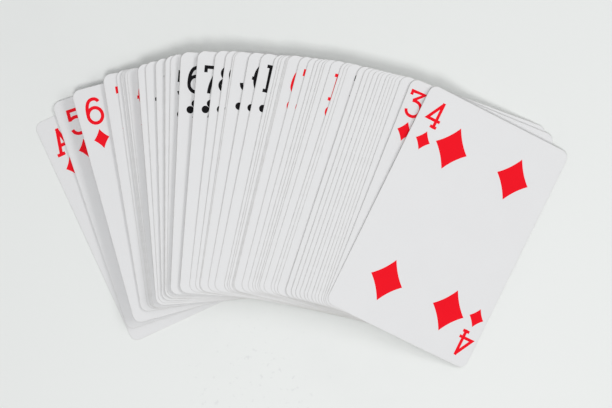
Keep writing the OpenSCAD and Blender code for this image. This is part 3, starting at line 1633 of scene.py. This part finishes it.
@dataclass(frozen=True)
class TableTop:
    """The white table that the deck lies on; lengths are in metres.

    Attributes:
        half: Half the side of the table.
        fade: Distances from the middle between which the board fades into the pale room.
        colour: Its colour.
        roughness: Roughness of the clean board.
        dulling: How much rougher its marks are.
        smudge: Colour of its faint marks.
        smudges: Scale of the smudges.
        smudge_edge: Values of that noise between which a smudge fades in.
        smudge_share: How much of their colour the smudges show.
        crumbs: Middle of a patch of fine specks in front of the deck.
        crumbs_reach: Distances from there between which the specks set in.
        specks_scale: Scale of the specks.
        speck_edge: Values of that noise between which a speck fades in.
        speck_share: How much of the marks' colour the specks show.
        grain: Scale of the grain of the paint.
        grain_strength: Strength of that grain.
        grain_depth: Depth of that grain.
    """

    half: float = 6.0
    fade: Span = (0.35, 1.3)
    colour: Colour = (0.80, 0.815, 0.80)
    roughness: float = 0.5
    dulling: float = 0.1
    smudge: Colour = (0.70, 0.71, 0.71)
    smudges: float = 9.0
    smudge_edge: Span = (0.55, 0.8)
    smudge_share: float = 0.25
    crumbs: Place = (-0.014, -0.068, 0)
    crumbs_reach: Span = (0.04, 0.012)
    specks_scale: float = 430.0
    speck_edge: Span = (0.6, 0.72)
    speck_share: float = 0.6
    grain: float = 900.0
    grain_strength: float = 0.05
    grain_depth: float = 0.1 * MM

    def build(self) -> bpy.types.Object:
        """Lays the table.

        Returns:
            The table.
        """
        clear_selection()
        bpy.ops.mesh.primitive_plane_add(size=2 * self.half)
        table = bpy.context.object
        table.name = "table_top"
        table.data.materials.append(self.material())
        return table

    def material(self) -> bpy.types.Material:
        """Builds painted board with faint marks, which fades into the room far from the deck.

        Returns:
            The material.
        """
        made = bpy.data.materials.new("painted_board")
        made.use_nodes = True
        net = Shading(made.node_tree)
        place = net.node("ShaderNodeTexCoord").outputs["Object"]
        marks = self.marks(net, place)
        looks = {
            "Base Color": net.mix(marks, (*self.colour, 1), (*self.smudge, 1)),
            "Roughness": net.math("MULTIPLY_ADD", marks, self.dulling, self.roughness),
            "Normal": net.bump(net.noise(place, self.grain, detail=2), self.grain_strength, self.grain_depth),
        }
        board = made.node_tree.nodes["Principled BSDF"]
        for name, value in looks.items():
            net.feed(board.inputs[name], value)
        faded = net.node("ShaderNodeMixShader")
        net.feed(faded.inputs[0], net.ramp(self.away(net, place, (0, 0, 0)), *self.fade))
        net.feed(faded.inputs[1], board.outputs[0])
        net.feed(faded.inputs[2], net.node("ShaderNodeBsdfTransparent").outputs[0])
        net.feed(made.node_tree.nodes["Material Output"].inputs["Surface"], faded.outputs[0])
        return made

    def marks(self, net: Shading, place: bpy.types.NodeSocket) -> bpy.types.NodeSocket:
        """Draws smudges all over, and specks that thin out away from the middle of their patch.

        Args:
            net: The material's tree.
            place: The place on the table.

        Returns:
            A mask of both.
        """
        smudges = net.ramp(net.noise(place, self.smudges, detail=5), *self.smudge_edge)
        near = net.ramp(self.away(net, place, self.crumbs), *self.crumbs_reach)
        specks = net.noise(place, self.specks_scale, detail=3)
        specks = net.ramp(specks, *self.speck_edge, to_high=self.speck_share)
        return net.math(
            "MAXIMUM", net.math("MULTIPLY", smudges, self.smudge_share), net.math("MULTIPLY", near, specks)
        )

    def away(self, net: Shading, place: bpy.types.NodeSocket, middle: Place) -> bpy.types.NodeSocket:
        """Adds a distance.

        Args:
            net: The material's tree.
            place: The place on the table.
            middle: The point from which it is measured.

        Returns:
            The distance.
        """
        made = net.node("ShaderNodeVectorMath", operation="DISTANCE")
        net.feed(made.inputs[0], place)
        net.feed(made.inputs[1], middle)
        return made.outputs["Value"]


@dataclass(frozen=True)
class SoftLight:
    """A rectangular lamp that points at the deck.

    Attributes:
        name: Its name.
        place: Where it hangs.
        size: Its length and width.
        power: Its power in watts.
        colour: Its colour.
    """

    name: str
    place: Place
    size: tuple[float, float]
    power: float
    colour: Colour = (1, 1, 1)

    def build(self) -> bpy.types.Object:
        """Hangs the lamp.

        Returns:
            The lamp.
        """
        data = bpy.data.lights.new(self.name, "AREA")
        data.shape = "RECTANGLE"
        data.energy = self.power
        data.color = self.colour
        data.size, data.size_y = self.size
        lamp = bpy.data.objects.new(self.name, data)
        lamp.location = self.place
        lamp.rotation_mode = "QUATERNION"
        lamp.rotation_quaternion = (-Vector(self.place)).to_track_quat("-Z", "Y")
        bpy.context.scene.collection.objects.link(lamp)
        return lamp


@dataclass(frozen=True)
class Studio:
    """Table, lamps, surroundings and camera.

    Attributes:
        camera_place: Where the camera stands, looking down.
        camera_tilt: How far from straight down it looks, in degrees about X and Y.
        lens: Its focal length in millimetres.
        film: Width of its picture in millimetres.
        clip: Nearest and farthest distance that it sees.
        ambient: Strength of the light from all round.
        ambient_colour: Colour of that light.
        backdrop: Strength at which the room itself is seen and mirrored.
        lamps: The lamps.
    """

    camera_place: Place = (0.01919, -0.01917, 1.0)
    camera_tilt: tuple[float, float] = (1.2, 1.0)
    lens: float = 160.3
    film: float = 36.0
    clip: Span = (0.01, 50.0)
    ambient: float = 0.30
    ambient_colour: Colour = (0.97, 0.985, 1.0)
    backdrop: float = 0.95
    lamps: tuple[SoftLight, ...] = (
        SoftLight("front_light", (0, -0.37, 1.14), (0.3, 0.3), 5.1),
        SoftLight("top_light", (0, 0, 1.2), (0.35, 0.35), 1.8),
        SoftLight("right_light", (0.74, 0.22, 0.87), (0.9, 0.3), 3.7),
    )

    def build(self) -> None:
        """Sets up everything round the deck."""
        TableTop().build()
        for lamp in self.lamps:
            lamp.build()
        self.surround()
        self.camera()
        bpy.context.scene.view_settings.view_transform = "Standard"

    def surround(self) -> None:
        """Gives the world an even weak light, and a near-white look where it is seen or mirrored."""
        world = bpy.data.worlds.new("pale_room")
        world.use_nodes = True
        net = Shading(world.node_tree)
        path = net.node("ShaderNodeLightPath").outputs
        seen = net.math("MAXIMUM", path["Is Camera Ray"], path["Is Glossy Ray"])
        seen = net.math("MAXIMUM", seen, path["Is Transmission Ray"])
        background = world.node_tree.nodes["Background"]
        net.feed(background.inputs["Color"], (*self.ambient_colour, 1))
        strength = net.math("MULTIPLY_ADD", seen, self.backdrop - self.ambient, self.ambient)
        net.feed(background.inputs["Strength"], strength)
        bpy.context.scene.world = world

    def camera(self) -> None:
        """Stands the camera above the table."""
        data = bpy.data.cameras.new("camera")
        data.lens = self.lens
        data.sensor_width = self.film
        data.clip_start, data.clip_end = self.clip
        camera = bpy.data.objects.new("camera", data)
        camera.location = self.camera_place
        camera.rotation_euler = (*(math.radians(a) for a in self.camera_tilt), 0)
        bpy.context.scene.collection.objects.link(camera)
        bpy.context.scene.camera = camera


def main() -> None:
    """Builds the deck and the studio."""
    logging.basicConfig(level=logging.INFO, format="%(message)s")
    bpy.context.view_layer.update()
    cards = Spread(frame["nodes"]).build()
    for card in cards:
        log.info("%s: %d faces", card.name, len(card.data.polygons))
    Studio().build()
    log.info("%d cards on a table", len(cards))


if __name__ == "__main__":
    main()
